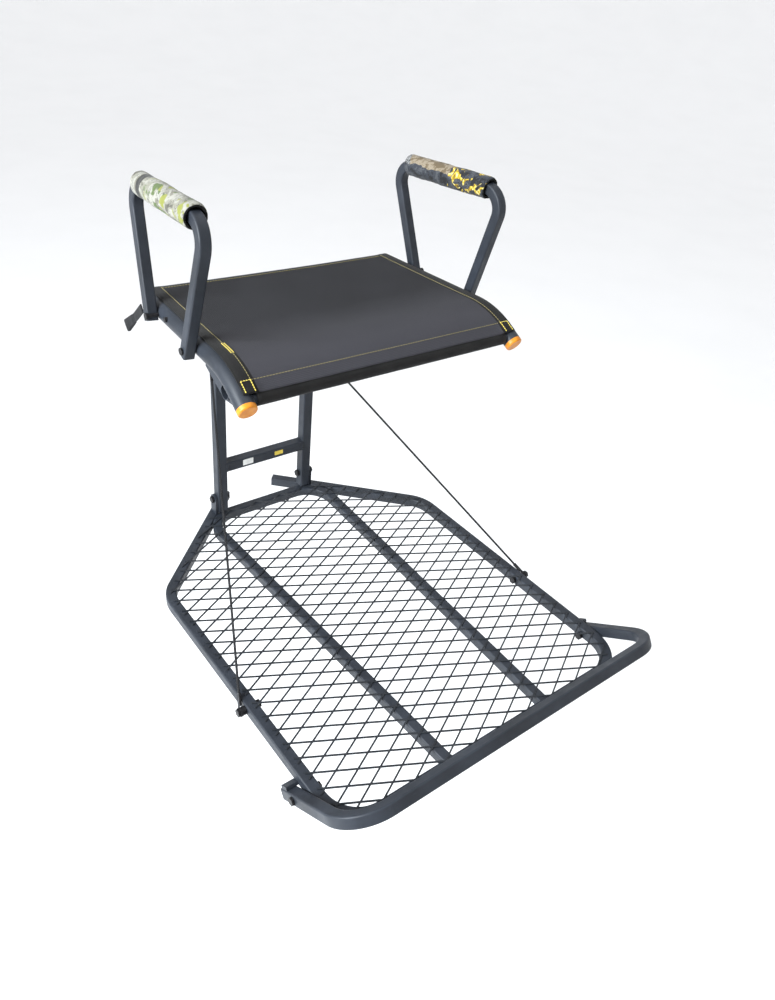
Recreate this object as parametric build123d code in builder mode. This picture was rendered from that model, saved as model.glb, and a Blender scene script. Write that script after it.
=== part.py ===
"""Hang-on tree stand: post, folding mesh platform, flip-up sling seat, armrests and footrest.

Millimetres. +X is the sitter's left as seen from the front, -Y is the front, +Z is up.
The origin is on the post's centre plane, level with the platform tubes; the trunk is at +Y.
"""

import os
from math import atan2, cos, degrees, hypot, radians, sin, tan

from build123d import *

os.makedirs("parts", exist_ok=True)

# ---- driving dimensions ----
fit_gap = 0.05  # radial clearance of every bolt in its holes

# post
post_half = 102.0  # centre of an upright from the middle
post_tube = 22.0  # square tube across its flats
post_wall = 1.6
post_bottom, post_top = 14.0, 508.0
upper_bar_z = 121.0
top_bar_z = 440.0

# platform
outer_tube, inner_tube, tube_wall = 20.0, 19.0, 1.5
tube_corner = 3.0  # outside corner radius of the square tubes
platform_half = 308.0
front_y = -757.0
side_bend_y = -183.0
stub_x, stub_y = 60.0, 62.0
front_bend, rear_bend = 65.0, 70.0
inner_front_half, inner_rear_half = 108.0, 139.5
inner_rear_y, inner_bend = -5.0, 60.0
mesh_pitch_x, mesh_pitch_y = 60.3, 31.6
mesh_hole_x, mesh_hole_y = 4.5, -356.3  # middle of one of its holes
strand_width, mesh_thickness = 2.8, 1.8
mesh_rear_y = -10.0

# hinge of the platform on the post
hinge_y, hinge_z = 2.0, 44.0
ear_thickness, ear_radius = 5.0, 11.0

# support cables
cable_diameter = 4.0
cable_top_z = 350.0
cable_foot_y = -491.0
eye_outer, eye_width = 8.0, 3.6
ferrule_radius, ferrule_start, ferrule_end = 3.4, 9.0, 30.0
cable_spacer = 7.0  # keeps a lower eye clear of its side tube

# footrest
foot_tube = 20.0
foot_half = 330.0
foot_rear_y, foot_rear_z = -643.0, -25.0
foot_front_y, foot_front_z = -799.0, 80.0
foot_bend = 60.0
foot_pivot_y, foot_pivot_z = -670.0, -6.8

# seat
rail_diameter, rail_wall = 30.0, 1.8
rail_half, rail_splay = 238.0, 0.055  # centre at y = 0, and its spread per mm of depth
rail_rear, rail_bend_at, rail_front = 47.0, 340.0, 396.0
rail_z, rail_front_z, rail_bend = 520.0, 488.0, 150.0
rear_bar_y, rear_bar_z, rear_bar_diameter = -62.0, 520.0, 22.0
front_bar_y, front_bar_z, front_bar_diameter = -322.0, 477.0, 24.0
front_bar_half = 254.0
hem_bar_y, hem_bar_z, hem_bar_diameter = -386.0, 495.0, 16.0
hem_radius = 11.5
sling_gap, sling_thickness = 0.4, 2.5
sling_rear = 48.0
seat_pivot_z = 494.0
arm_bar_inner, arm_bar_outer, arm_bar_height = 82.0, 90.0, 30.0
rest_bar_y, rest_bar_radius = -66.0, 7.0

# armrests
loop_tube, loop_wall, loop_corner = 18.0, 1.4, 3.0
loop_lean = 0.060  # the loops lean in by this much per mm of height
loop_rear_foot, loop_front_foot, loop_foot_z = 113.0, 253.0, 510.0
loop_rear_top, loop_front_top = 45.0, 314.0
loop_rear_top_z, loop_front_top_z, loop_bend = 706.5, 715.5, 32.0
pad_radius, pad_over_bend = 18.5, 0.12  # the sleeve runs this share of the way round each bend

# fasteners: shank radius, across flats, head height
pivot_bolt = (4.0, 13.0, 5.0)
cable_bolt = (4.0, 13.0, 3.6)
foot_bolt_size = (4.0, 13.0, 4.0)
arm_bolt_radius, arm_head_radius, arm_head_height = 3.5, 5.5, 2.5


# ---- shared shapes ----
def save(part, label):
    part.label = label
    export_step(part, f"parts/{label}.step")


def across(x, y, z):
    """A plane square to X at a point, its own x axis along Y."""
    return Plane(origin=(x, y, z), x_dir=(0, 1, 0), z_dir=(1, 0, 0))


def swept(path, diameter, wall=0.0):
    """A round tube along a path; a rod where the wall is zero."""
    with BuildPart() as tube:
        with BuildLine():
            add(path)
        with BuildSketch(Plane(origin=path @ 0, z_dir=path % 0)):
            Circle(diameter / 2)
            if wall:
                Circle(diameter / 2 - wall, mode=Mode.SUBTRACT)
        sweep()
    return tube.part


def square_swept(path, side, normal, corner, wall=0.0):
    """A square tube bent along a flat path, two of its faces square to the path's normal."""
    with BuildPart() as tube:
        with BuildLine():
            add(path)
        with BuildSketch(Plane(origin=path @ 0, x_dir=normal, z_dir=path % 0)):
            RectangleRounded(side, side, corner)
            if wall:
                bore_side = side - 2 * wall
                RectangleRounded(bore_side, bore_side, corner - wall / 2, mode=Mode.SUBTRACT)
        sweep()
    return tube.part


def rod(start, end, radius):
    """A plain round bar between two points."""
    axis = Vector(*end) - Vector(*start)
    with BuildPart() as bar:
        with BuildSketch(Plane(origin=start, z_dir=axis)):
            Circle(radius)
        extrude(amount=axis.length)
    return bar.part


def keep_solid(solid):
    """One solid out of a cut part, as a part of its own."""
    with BuildPart() as kept:
        add(solid)
    return kept.part


def bore(x_low, x_high, y, z, radius):
    """Cut a round hole along X through the part being built."""
    add(rod((x_low, y, z), (x_high, y, z), radius + fit_gap), mode=Mode.SUBTRACT)


def mirrored_pair(part):
    """The part and its mirror image, as one group of two solids."""
    with BuildPart() as pair:
        add(part)
        mirror(part, about=Plane.YZ)
    return pair.part


def mirror_image(part):
    with BuildPart() as image:
        mirror(part, about=Plane.YZ)
    return image.part


def hex_bolt(x_end, x_head, y, z, size):
    """A bolt along X, with its head on the outside."""
    radius, flats, head = size
    with BuildPart() as bolt:
        with BuildSketch(across(x_end, y, z)):
            Circle(radius)
        extrude(amount=x_head - x_end)
        with BuildSketch(across(x_head, y, z)):
            RegularPolygon(flats / 2, 6, major_radius=False)
        extrude(amount=head)
        chamfer(bolt.faces().sort_by(Axis.X)[-1].edges(), head / 8)
    return bolt.part


def hex_nut(x_low, thickness, y, z, size):
    radius, flats, _ = size
    with BuildPart() as nut:
        with BuildSketch(across(x_low, y, z)):
            RegularPolygon(flats / 2, 6, major_radius=False)
            Circle(radius + fit_gap, mode=Mode.SUBTRACT)
        extrude(amount=thickness)
    return nut.part


# ---- post ----
upright_inner = post_half - post_tube / 2
upright_outer = post_half + post_tube / 2
post_face = post_tube / 2  # the uprights' front and rear faces are this far from y = 0
post_bore = post_tube - 2 * post_wall

with BuildPart() as upright:
    with BuildSketch(Plane.XY.offset(post_bottom)):
        with Locations((post_half, 0)):
            RectangleRounded(post_tube, post_tube, 2.5)
            RectangleRounded(post_bore, post_bore, 1.0, mode=Mode.SUBTRACT)
    extrude(amount=post_top - post_bottom)
    bore(upright_inner - 1, upright_outer + 1, hinge_y, hinge_z, pivot_bolt[0])
    bore(upright_inner - 1, upright_outer + 1, 0, cable_top_z, cable_bolt[0])
    bore(upright_inner - 1, upright_outer + 1, 0, seat_pivot_z, pivot_bolt[0])
save(upright.part, "post_upright_right")
save(mirror_image(upright.part), "post_upright_left")


def post_crossbar(z):
    with BuildPart() as bar:
        with BuildSketch(across(-upright_inner, 0, z)):
            RectangleRounded(post_tube, post_tube, 2.5)
            RectangleRounded(post_bore, post_bore, 1.0, mode=Mode.SUBTRACT)
        extrude(amount=2 * upright_inner)
    return bar.part


save(post_crossbar(upper_bar_z), "post_upper_crossbar")
save(post_crossbar(top_bar_z), "post_top_crossbar")

cap_thickness, plug_length = 3.0, 12.0
with BuildPart() as post_cap:
    with BuildSketch(Plane.XY.offset(post_top)):
        with Locations((post_half, 0)):
            RectangleRounded(post_tube, post_tube, 3.0)
    extrude(amount=cap_thickness)
    fillet(post_cap.faces().sort_by(Axis.Z)[-1].edges(), 1.2)
    with BuildSketch(Plane.XY.offset(post_top)):
        with Locations((post_half, 0)):
            RectangleRounded(post_bore - 0.2, post_bore - 0.2, 1.0)
    extrude(amount=-(post_top - seat_pivot_z - pivot_bolt[0] - 1))
save(mirrored_pair(post_cap.part), "upright_top_caps")


def sticker(centre_x, width, height, z):
    """A blank label on the front face of the upper crossbar."""
    thickness = 0.3
    with BuildPart() as label:
        with BuildSketch(Plane.XZ.offset(post_face)):
            with Locations((centre_x, z)):
                RectangleRounded(width, height, 1.0)
        extrude(amount=thickness)
    return label.part


save(sticker(-43, 24, 13, upper_bar_z + 1), "blank_label_white")
save(sticker(31, 20, 9, upper_bar_z + 1), "blank_label_yellow")

# toothed bracket that bites the trunk, welded behind the top crossbar
bracket_half, bracket_reach, notch_depth = 86.0, 64.0, 32.0
bracket_thickness, teeth_per_side, tooth_height = 5.0, 5, 6.0
with BuildPart() as bracket:
    with BuildSketch(Plane.XY.offset(top_bar_z - bracket_thickness / 2)):
        with BuildLine():
            edge = [(-bracket_half, post_face)]
            for side in (-1, 1):
                for step in range(2 * teeth_per_side + 1):
                    share = step / (2 * teeth_per_side)
                    along = 1 - share if side < 0 else share
                    depth = bracket_reach - notch_depth * (1 - along)
                    tip = tooth_height if step % 2 else 0
                    edge.append((side * bracket_half * along, depth - tip))
                if side < 0:
                    edge.pop()
            edge.append((bracket_half, post_face))
            Polyline(*edge, close=True)
        make_face()
    extrude(amount=bracket_thickness)
save(bracket.part, "tree_bracket")

# pins for the trunk strap's hooks, one on the outside of each upright
strap_pin_radius, strap_pin_length, strap_pin_z = 5.0, 22.0, 458.0
strap_pin = rod(
    (upright_outer, 0, strap_pin_z),
    (upright_outer + strap_pin_length, 0, strap_pin_z),
    strap_pin_radius,
)
save(mirrored_pair(strap_pin), "strap_pins")

# gussets on the uprights' front faces carry the bar that the lowered seat rests on
gusset_thickness, gusset_reach = 6.0, 78.0
rest_bar_z = seat_pivot_z - arm_bar_height / 2 - rest_bar_radius - 0.3
with BuildPart() as gusset:
    with BuildSketch(across(post_half - gusset_thickness / 2, 0, 0)):
        with BuildLine():
            Polyline(
                (-post_face, rest_bar_z - 72),
                (-post_face, rest_bar_z + 14),
                (-gusset_reach, rest_bar_z + 14),
                (-gusset_reach, rest_bar_z - 14),
                close=True,
            )
        make_face()
    extrude(amount=gusset_thickness)
    bore(upright_inner, upright_outer, rest_bar_y, rest_bar_z, rest_bar_radius)
save(mirrored_pair(gusset.part), "seat_rest_gussets")
rest_bar_half = post_half + gusset_thickness / 2 + 2
rest_bar = rod(
    (-rest_bar_half, rest_bar_y, rest_bar_z),
    (rest_bar_half, rest_bar_y, rest_bar_z),
    rest_bar_radius,
)
save(rest_bar, "seat_rest_bar")

# ---- platform ----
with BuildLine() as outer_route:
    FilletPolyline(
        (stub_x, stub_y),
        (platform_half, side_bend_y),
        (platform_half, front_y),
        (-platform_half, front_y),
        (-platform_half, side_bend_y),
        (-stub_x, stub_y),
        radius=[rear_bend, front_bend, front_bend, rear_bend],
    )
outer_path = outer_route.wire()
up = (0, 0, 1)
outer_rod = square_swept(outer_path, outer_tube, up, tube_corner)
side_face = platform_half + outer_tube / 2  # outside of the side tubes

with BuildPart() as platform_outer:
    add(square_swept(outer_path, outer_tube, up, tube_corner, tube_wall))
    for x_low in (platform_half - outer_tube, -platform_half - outer_tube):
        bore(x_low, x_low + 2 * outer_tube, cable_foot_y, 0, cable_bolt[0])
        bore(x_low, x_low + 2 * outer_tube, foot_pivot_y, foot_pivot_z, pivot_bolt[0])
save(platform_outer.part, "platform_outer_tube")

inner_z = (outer_tube - inner_tube) / 2  # both tubes' tops are level
with BuildLine(Plane.XY.offset(inner_z)) as inner_route:
    FilletPolyline(
        (inner_front_half, front_y),
        (inner_rear_half, inner_rear_y),
        (-inner_rear_half, inner_rear_y),
        (-inner_front_half, front_y),
        radius=inner_bend,
    )
with BuildPart() as platform_inner:
    add(square_swept(inner_route.wire(), inner_tube, up, tube_corner, tube_wall))
    add(outer_rod, mode=Mode.SUBTRACT)
inner_pieces = platform_inner.part.solids().sort_by(SortBy.VOLUME)
save(keep_solid(inner_pieces[-1]), "platform_inner_tube")

# expanded metal panel, lying on the tubes' tops
mesh_z = outer_tube / 2
rear_corner_x = stub_x + (stub_y - mesh_rear_y) * (platform_half - stub_x) / (stub_y - side_bend_y)
cell_x = mesh_pitch_x - strand_width / sin(atan2(mesh_pitch_y, mesh_pitch_x))
cell_y = mesh_pitch_y - strand_width / cos(atan2(mesh_pitch_y, mesh_pitch_x))
columns = 2 * int(platform_half / mesh_pitch_x) + 5
rows = 2 * int(-front_y / mesh_pitch_y / 2) + 5
with BuildPart() as mesh:
    with BuildSketch(Plane.XY.offset(mesh_z)):
        with BuildLine():
            outline = FilletPolyline(
                (rear_corner_x, mesh_rear_y),
                (platform_half, side_bend_y),
                (platform_half, front_y),
                (-platform_half, front_y),
                (-platform_half, side_bend_y),
                (-rear_corner_x, mesh_rear_y),
                radius=[rear_bend, front_bend, front_bend, rear_bend],
            )
            Line(outline @ 1, outline @ 0)
        make_face()
        for shift in (0, 0.5):
            centre = (mesh_hole_x + shift * mesh_pitch_x, mesh_hole_y + shift * mesh_pitch_y)
            with Locations(centre):
                with GridLocations(mesh_pitch_x, mesh_pitch_y, columns, rows):
                    Polygon(
                        (cell_x / 2, 0),
                        (0, cell_y / 2),
                        (-cell_x / 2, 0),
                        (0, -cell_y / 2),
                        mode=Mode.SUBTRACT,
                    )
    extrude(amount=mesh_thickness)
save(mesh.part, "platform_mesh")

# ears that carry the platform on the post's pivot bolts
ear_x = upright_outer + 1.0
with BuildPart() as ear:
    with BuildSketch(across(ear_x, 0, 0)):
        with Locations((hinge_y, hinge_z)):
            Circle(ear_radius)
        with Locations((hinge_y, hinge_z / 2)):
            Rectangle(2 * ear_radius, hinge_z)
    extrude(amount=ear_thickness)
    bore(ear_x - 1, ear_x + ear_thickness + 1, hinge_y, hinge_z, pivot_bolt[0])
    add(outer_rod, mode=Mode.SUBTRACT)
    add(square_swept(inner_route.wire(), inner_tube, up, tube_corner), mode=Mode.SUBTRACT)
ear_pieces = ear.part.solids().sort_by(Axis.Z)
save(mirrored_pair(keep_solid(ear_pieces[-1])), "platform_hinge_ears")

pivot_head_x = ear_x + ear_thickness + 0.5
nut_thickness = 6.0
platform_bolt = hex_bolt(upright_inner - nut_thickness, pivot_head_x, hinge_y, hinge_z, pivot_bolt)
save(mirrored_pair(platform_bolt), "platform_pivot_bolts")
platform_nut = hex_nut(upright_inner - nut_thickness, nut_thickness, hinge_y, hinge_z, pivot_bolt)
save(mirrored_pair(platform_nut), "platform_pivot_nuts")

# ---- support cables ----
eye_gap = 0.4
upper_eye = Vector(upright_outer + eye_gap + eye_width / 2, 0, cable_top_z)
lower_eye = Vector(side_face + cable_spacer + eye_gap + eye_width / 2, cable_foot_y, 0)


def cable_eye(centre, other_end, bolt_radius):
    """The cable's end loop round its bolt, with the crimped ferrule in line with the cable."""
    run = (other_end - centre).normalized()
    with BuildPart() as eye:
        with BuildSketch(across(centre.X - eye_width / 2, centre.Y, centre.Z)):
            Circle(eye_outer)
        extrude(amount=eye_width)
        add(rod(centre, centre + run * ferrule_end, ferrule_radius))
        bore(centre.X - 2 * eye_width, centre.X + 2 * eye_width, centre.Y, centre.Z, bolt_radius)
        for face_x in (centre.X - eye_width / 2 - 10, centre.X + eye_width / 2):
            # keep the ferrule's root inside the eye's two faces
            with BuildSketch(across(face_x, centre.Y, centre.Z)):
                Circle(ferrule_start)
            extrude(amount=10, mode=Mode.SUBTRACT)
    return eye.part


save(mirrored_pair(cable_eye(upper_eye, lower_eye, cable_bolt[0])), "cable_upper_eyes")
save(mirrored_pair(cable_eye(lower_eye, upper_eye, cable_bolt[0])), "cable_lower_eyes")

run_down = (lower_eye - upper_eye).normalized()
cable = rod(
    upper_eye + run_down * ferrule_end,
    lower_eye - run_down * ferrule_end,
    cable_diameter / 2,
)
save(cable, "support_cable_right")
save(mirror_image(cable), "support_cable_left")

cable_head_gap = 2 * eye_gap + eye_width
upper_bolt = hex_bolt(
    upright_inner - nut_thickness, upright_outer + cable_head_gap, 0, cable_top_z, cable_bolt
)
save(mirrored_pair(upper_bolt), "cable_upper_bolts")
upper_nut = hex_nut(upright_inner - nut_thickness, nut_thickness, 0, cable_top_z, cable_bolt)
save(mirrored_pair(upper_nut), "cable_upper_nuts")
side_inner_face = platform_half - outer_tube / 2
lower_head_x = side_face + cable_spacer + cable_head_gap
lower_bolt = hex_bolt(side_inner_face - nut_thickness, lower_head_x, cable_foot_y, 0, cable_bolt)
save(mirrored_pair(lower_bolt), "cable_lower_bolts")
lower_nut = hex_nut(side_inner_face - nut_thickness, nut_thickness, cable_foot_y, 0, cable_bolt)
save(mirrored_pair(lower_nut), "cable_lower_nuts")
with BuildPart() as spacer:
    with BuildSketch(across(side_face, cable_foot_y, 0)):
        Circle(7.5)
        Circle(cable_bolt[0] + fit_gap, mode=Mode.SUBTRACT)
    extrude(amount=cable_spacer)
save(mirrored_pair(spacer.part), "cable_lower_spacers")

# ---- footrest ----
foot_drop = foot_rear_z - foot_front_z
foot_run = hypot(foot_front_y - foot_rear_y, foot_drop)
foot_plane = Plane(
    origin=(0, foot_rear_y, foot_rear_z),
    x_dir=(1, 0, 0),
    z_dir=(0, foot_drop, foot_front_y - foot_rear_y),
)
reach = foot_run if foot_plane.y_dir.Y < 0 else -foot_run
with BuildLine(foot_plane) as foot_route:
    FilletPolyline(
        (foot_half, 0), (foot_half, reach), (-foot_half, reach), (-foot_half, 0), radius=foot_bend
    )
with BuildPart() as footrest:
    add(square_swept(foot_route.wire(), foot_tube, foot_plane.z_dir, tube_corner, tube_wall))
    for x_low in (foot_half - foot_tube, -foot_half - foot_tube):
        bore(x_low, x_low + 2 * foot_tube, foot_pivot_y, foot_pivot_z, pivot_bolt[0])
save(footrest.part, "footrest_tube")

foot_outer_face = foot_half + foot_tube / 2
foot_bolt = hex_bolt(
    side_inner_face - nut_thickness, foot_outer_face + 0.5, foot_pivot_y, foot_pivot_z, foot_bolt_size
)
save(mirrored_pair(foot_bolt), "footrest_pivot_bolts")
foot_nut = hex_nut(
    side_inner_face - nut_thickness, nut_thickness, foot_pivot_y, foot_pivot_z, pivot_bolt
)
save(mirrored_pair(foot_nut), "footrest_pivot_nuts")

plug_flange = 2.5
foot_along = Vector(0, foot_front_y - foot_rear_y, foot_front_z - foot_rear_z).normalized()
foot_end = Plane(origin=(foot_half, foot_rear_y, foot_rear_z), x_dir=(1, 0, 0), z_dir=foot_along)
plug_side = foot_tube - 2 * tube_wall - 0.2
with BuildPart() as foot_plug:
    with BuildSketch(foot_end):
        RectangleRounded(foot_tube, foot_tube, tube_corner)
    extrude(amount=-plug_flange)
    with BuildSketch(foot_end):
        RectangleRounded(plug_side, plug_side, tube_corner - tube_wall / 2)
    extrude(amount=plug_length)
save(mirrored_pair(foot_plug.part), "footrest_end_plugs")

# lugs on the side tubes that the arms' tails press up against when the footrest is down
lug_length, lug_height, lug_gap = 16.0, 6.0, 0.4
lug_plane = Plane(origin=(side_face - 5, foot_rear_y, foot_rear_z), x_dir=foot_along, z_dir=(1, 0, 0))
lug_side = 1 if lug_plane.y_dir.Z > 0 else -1
with BuildPart() as lug:
    with BuildSketch(lug_plane):
        with Locations((10, lug_side * (foot_tube / 2 + lug_gap + lug_height / 2))):
            RectangleRounded(lug_length, lug_height, 1.0)
    extrude(amount=foot_outer_face - side_face + 4)
    add(outer_rod, mode=Mode.SUBTRACT)
lug_pieces = lug.part.solids().sort_by(SortBy.VOLUME)
save(mirrored_pair(keep_solid(lug_pieces[-1])), "footrest_stop_lugs")

# ---- seat ----
rail_plane = Plane(
    origin=(rail_half, 0, 0), x_dir=(rail_splay, -1, 0), z_dir=(-1, -rail_splay, 0)
)
rail_slope = atan2(rail_z - rail_front_z, rail_front - rail_bend_at)


def rail_x(y):
    """Distance of a rail's centre from the middle, at a depth y."""
    return rail_half - rail_splay * y


def beside_rail(offset, front_cut=0.0):
    """The three corners of the rails' side view, moved square to it by an offset."""
    end_u = rail_front - front_cut * cos(rail_slope)
    end_z = rail_front_z + front_cut * sin(rail_slope)
    return [
        (sling_rear, rail_z + offset),
        (rail_bend_at + offset * tan(rail_slope / 2), rail_z + offset),
        (end_u + offset * sin(rail_slope), end_z + offset * cos(rail_slope)),
    ]


with BuildLine(rail_plane) as rail_route:
    FilletPolyline(
        (rail_rear, rail_z), (rail_bend_at, rail_z), (rail_front, rail_front_z), radius=rail_bend
    )
rail_path = rail_route.wire()
rail_rod = swept(rail_path, rail_diameter)
rail_rods = mirrored_pair(rail_rod)
foot_bolt_ys = (-loop_rear_foot - 4, -loop_front_foot - 3)
with BuildPart() as rail:
    add(swept(rail_path, rail_diameter, rail_wall))
    for y in foot_bolt_ys:
        bore(rail_x(y) - rail_diameter, rail_x(y) + rail_diameter, y, rail_z, arm_bolt_radius)
save(rail.part, "seat_rail_right")
save(mirror_image(rail.part), "seat_rail_left")


def rail_cap(at, outward, flange, rounding):
    """A plug in a rail's end with a round flange outside it."""
    tube_end = Plane(origin=at, z_dir=outward)
    with BuildPart() as cap:
        with BuildSketch(tube_end):
            Circle(rail_diameter / 2)
        extrude(amount=flange)
        fillet(cap.edges().filter_by(GeomType.CIRCLE).sort_by_distance(at)[-1], rounding)
        with BuildSketch(tube_end):
            Circle(rail_diameter / 2 - rail_wall - 0.1)
        extrude(amount=-plug_length)
    return cap.part


front_cap = rail_cap(rail_path @ 1, rail_path % 1, 8.0, 3.0)
save(mirrored_pair(front_cap), "rail_front_caps")
rear_cap = rail_cap(rail_path @ 0, (rail_path % 0) * -1, 3.0, 1.2)
save(mirrored_pair(rear_cap), "rail_rear_plugs")


def seat_crossbar(y, z, diameter, half_length):
    bar = rod((-half_length, y, z), (half_length, y, z), diameter / 2)
    with BuildPart() as crossbar:
        add(bar)
        hollow = rod((-half_length - 1, y, z), (half_length + 1, y, z), diameter / 2 - tube_wall)
        add(hollow, mode=Mode.SUBTRACT)
        add(rail_rods, mode=Mode.SUBTRACT)
    pieces = crossbar.part.solids().sort_by(SortBy.VOLUME)
    return keep_solid(pieces[-1])


rear_bar = seat_crossbar(rear_bar_y, rear_bar_z, rear_bar_diameter, rail_x(rear_bar_y))
save(rear_bar, "seat_rear_crossbar")
front_bar = seat_crossbar(front_bar_y, front_bar_z, front_bar_diameter, front_bar_half)
save(front_bar, "seat_front_crossbar")
hem_bar = seat_crossbar(hem_bar_y, hem_bar_z, hem_bar_diameter, rail_x(hem_bar_y))
save(hem_bar, "sling_front_bar")

front_bar_rod = rod(
    (-front_bar_half - 1, front_bar_y, front_bar_z),
    (front_bar_half + 1, front_bar_y, front_bar_z),
    front_bar_diameter / 2,
)
rear_bar_rod = rod(
    (-rail_half, rear_bar_y, rear_bar_z), (rail_half, rear_bar_y, rear_bar_z), rear_bar_diameter / 2
)

# plates that hang the front crossbar under the rails
hanger_thickness, hanger_x = 4.0, 246.0
with BuildPart() as hanger:
    with BuildSketch(across(hanger_x, 0, 0)):
        with BuildLine():
            Polyline(
                (-256, rail_z - 8),
                (-300, rail_z - 8),
                (front_bar_y - 15, front_bar_z + 4),
                (front_bar_y - 15, front_bar_z - 14),
                (front_bar_y + 10, front_bar_z - 16),
                (-256, rail_z - 30),
                close=True,
            )
        make_face()
    extrude(amount=hanger_thickness)
    add(rail_rod, mode=Mode.SUBTRACT)
    add(front_bar_rod, mode=Mode.SUBTRACT)
hanger_pieces = hanger.part.solids().sort_by(SortBy.VOLUME)
save(mirrored_pair(keep_solid(hanger_pieces[-1])), "seat_hanger_plates")

# flat bars that carry the seat from its pivots to the front crossbar
with BuildPart() as hinge_arm:
    with BuildSketch(across(arm_bar_inner, 0, 0)):
        with Locations((0, seat_pivot_z)):
            Circle(arm_bar_height / 2)
        with Locations((front_bar_y / 2, seat_pivot_z)):
            Rectangle(-front_bar_y, arm_bar_height)
    extrude(amount=arm_bar_outer - arm_bar_inner)
    bore(arm_bar_inner - 1, arm_bar_outer + 1, 0, seat_pivot_z, pivot_bolt[0])
    add(front_bar_rod, mode=Mode.SUBTRACT)
save(mirrored_pair(hinge_arm.part), "seat_hinge_arms")

seat_bolt_end = arm_bar_inner - nut_thickness
seat_bolt = hex_bolt(seat_bolt_end, upright_outer + 0.5, 0, seat_pivot_z, pivot_bolt)
save(mirrored_pair(seat_bolt), "seat_pivot_bolts")
seat_nut = hex_nut(seat_bolt_end - 0.5, nut_thickness, 0, seat_pivot_z, pivot_bolt)
save(mirrored_pair(seat_nut), "seat_pivot_nuts")
washer_gap = 0.1
with BuildPart() as washer:
    with BuildSketch(across(arm_bar_outer + washer_gap, 0, seat_pivot_z)):
        Circle(9)
        Circle(pivot_bolt[0] + fit_gap, mode=Mode.SUBTRACT)
    extrude(amount=upright_inner - arm_bar_outer - 2 * washer_gap)
save(mirrored_pair(washer.part), "seat_pivot_washers")

# sling: a sheet over the rails, and the hem that wraps the front bar
sling_low = rail_diameter / 2 + sling_gap
sling_high = sling_low + sling_thickness
sling_cut = 12.0
with BuildPart() as sling:
    with BuildSketch(across(-300, 0, 0)):
        with BuildLine():
            under = [(-u, z) for u, z in beside_rail(sling_low, sling_cut)]
            over = [(-u, z) for u, z in beside_rail(sling_high, sling_cut)]
            lower = FilletPolyline(*under, radius=rail_bend + sling_low)
            upper = FilletPolyline(*over, radius=rail_bend + sling_high)
            Line(lower @ 1, upper @ 1)
            Line(upper @ 0, lower @ 0)
        make_face()
    extrude(amount=600)
    edge_out = 4.0  # the sheet reaches this far past the rails' centres
    rear_half, front_half = rail_x(0) + edge_out, rail_x(-450) + edge_out
    with BuildSketch(Plane.XY.offset(400)):
        with BuildLine():
            Polyline(
                (rear_half, 0), (front_half, -450), (-front_half, -450), (-rear_half, 0), close=True
            )
        make_face()
    extrude(amount=200, mode=Mode.INTERSECT)
save(sling.part, "seat_sling")

hem_half = rail_x(hem_bar_y) - rail_diameter / 2 - 3
with BuildPart() as hem:
    with BuildSketch(across(-hem_half, hem_bar_y, hem_bar_z)):
        Circle(hem_radius)
        Circle(hem_bar_diameter / 2 + 0.3, mode=Mode.SUBTRACT)
    extrude(amount=2 * hem_half)
save(hem.part, "sling_front_hem")

# screws that pin the sling's edge cords in the rails
screw_radius, screw_height, screw_depth_y, screw_z = 4.0, 3.0, -150.0, rail_z + 4
screw_x = rail_x(screw_depth_y) + rail_diameter / 2
screw = rod(
    (screw_x - 2, screw_depth_y, screw_z), (screw_x + screw_height, screw_depth_y, screw_z), screw_radius
)
with BuildPart() as screw_head:
    add(screw)
    add(rail_rod, mode=Mode.SUBTRACT)
save(mirrored_pair(screw_head.part), "sling_screws")

# ---- armrests ----
loop_offset = rail_diameter / 2 + loop_tube / 2 + 0.5
loop_plane = Plane(
    origin=(rail_half + loop_offset, 0, rail_z),
    x_dir=(rail_splay, -1, 0),
    z_dir=(-1, -rail_splay, -loop_lean),
)
with BuildLine(loop_plane) as loop_route:
    FilletPolyline(
        (loop_front_foot, loop_foot_z - rail_z),
        (loop_front_top, loop_front_top_z - rail_z),
        (loop_rear_top, loop_rear_top_z - rail_z),
        (loop_rear_foot, loop_foot_z - rail_z),
        radius=loop_bend,
    )
with BuildPart() as loop:
    add(square_swept(loop_route.wire(), loop_tube, loop_plane.z_dir, loop_corner, loop_wall))
    for y in foot_bolt_ys:
        x = rail_x(y) + loop_offset
        bore(x - loop_tube, x + loop_tube, y, rail_z, arm_bolt_radius)
save(loop.part, "armrest_loop_right")
save(mirror_image(loop.part), "armrest_loop_left")

loop_wire = loop_route.wire()
bend_length = loop_wire.edges()[1].length
sleeve_start = (loop_wire.edges()[0].length + bend_length * (1 - pad_over_bend)) / loop_wire.length
sleeve_end = 1 - (loop_wire.edges()[4].length + bend_length * (1 - pad_over_bend)) / loop_wire.length
pad_path = loop_wire.trim(sleeve_start, sleeve_end)
with BuildPart() as pad:
    add(swept(pad_path, 2 * pad_radius))
    add(square_swept(pad_path, loop_tube + 0.6, loop_plane.z_dir, loop_corner), mode=Mode.SUBTRACT)
save(pad.part, "arm_pad_right")
save(mirror_image(pad.part), "arm_pad_left")

with BuildPart() as arm_bolts:
    for y in foot_bolt_ys:
        inside = rail_x(y) - rail_diameter / 2 - nut_thickness - 1
        outside = rail_x(y) + loop_offset + loop_tube / 2 + 0.8
        add(rod((inside, y, rail_z), (outside, y, rail_z), arm_bolt_radius))
        add(rod((outside, y, rail_z), (outside + arm_head_height, y, rail_z), arm_head_radius))
save(mirrored_pair(arm_bolts.part), "armrest_bolts")

with BuildPart() as arm_nuts:
    for y in foot_bolt_ys:
        inside = rail_x(y) - rail_diameter / 2 - nut_thickness - 0.5
        add(hex_nut(inside, nut_thickness, y, rail_z, (arm_bolt_radius, 11.0, 0)))
save(mirrored_pair(arm_nuts.part), "armrest_nuts")
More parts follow.
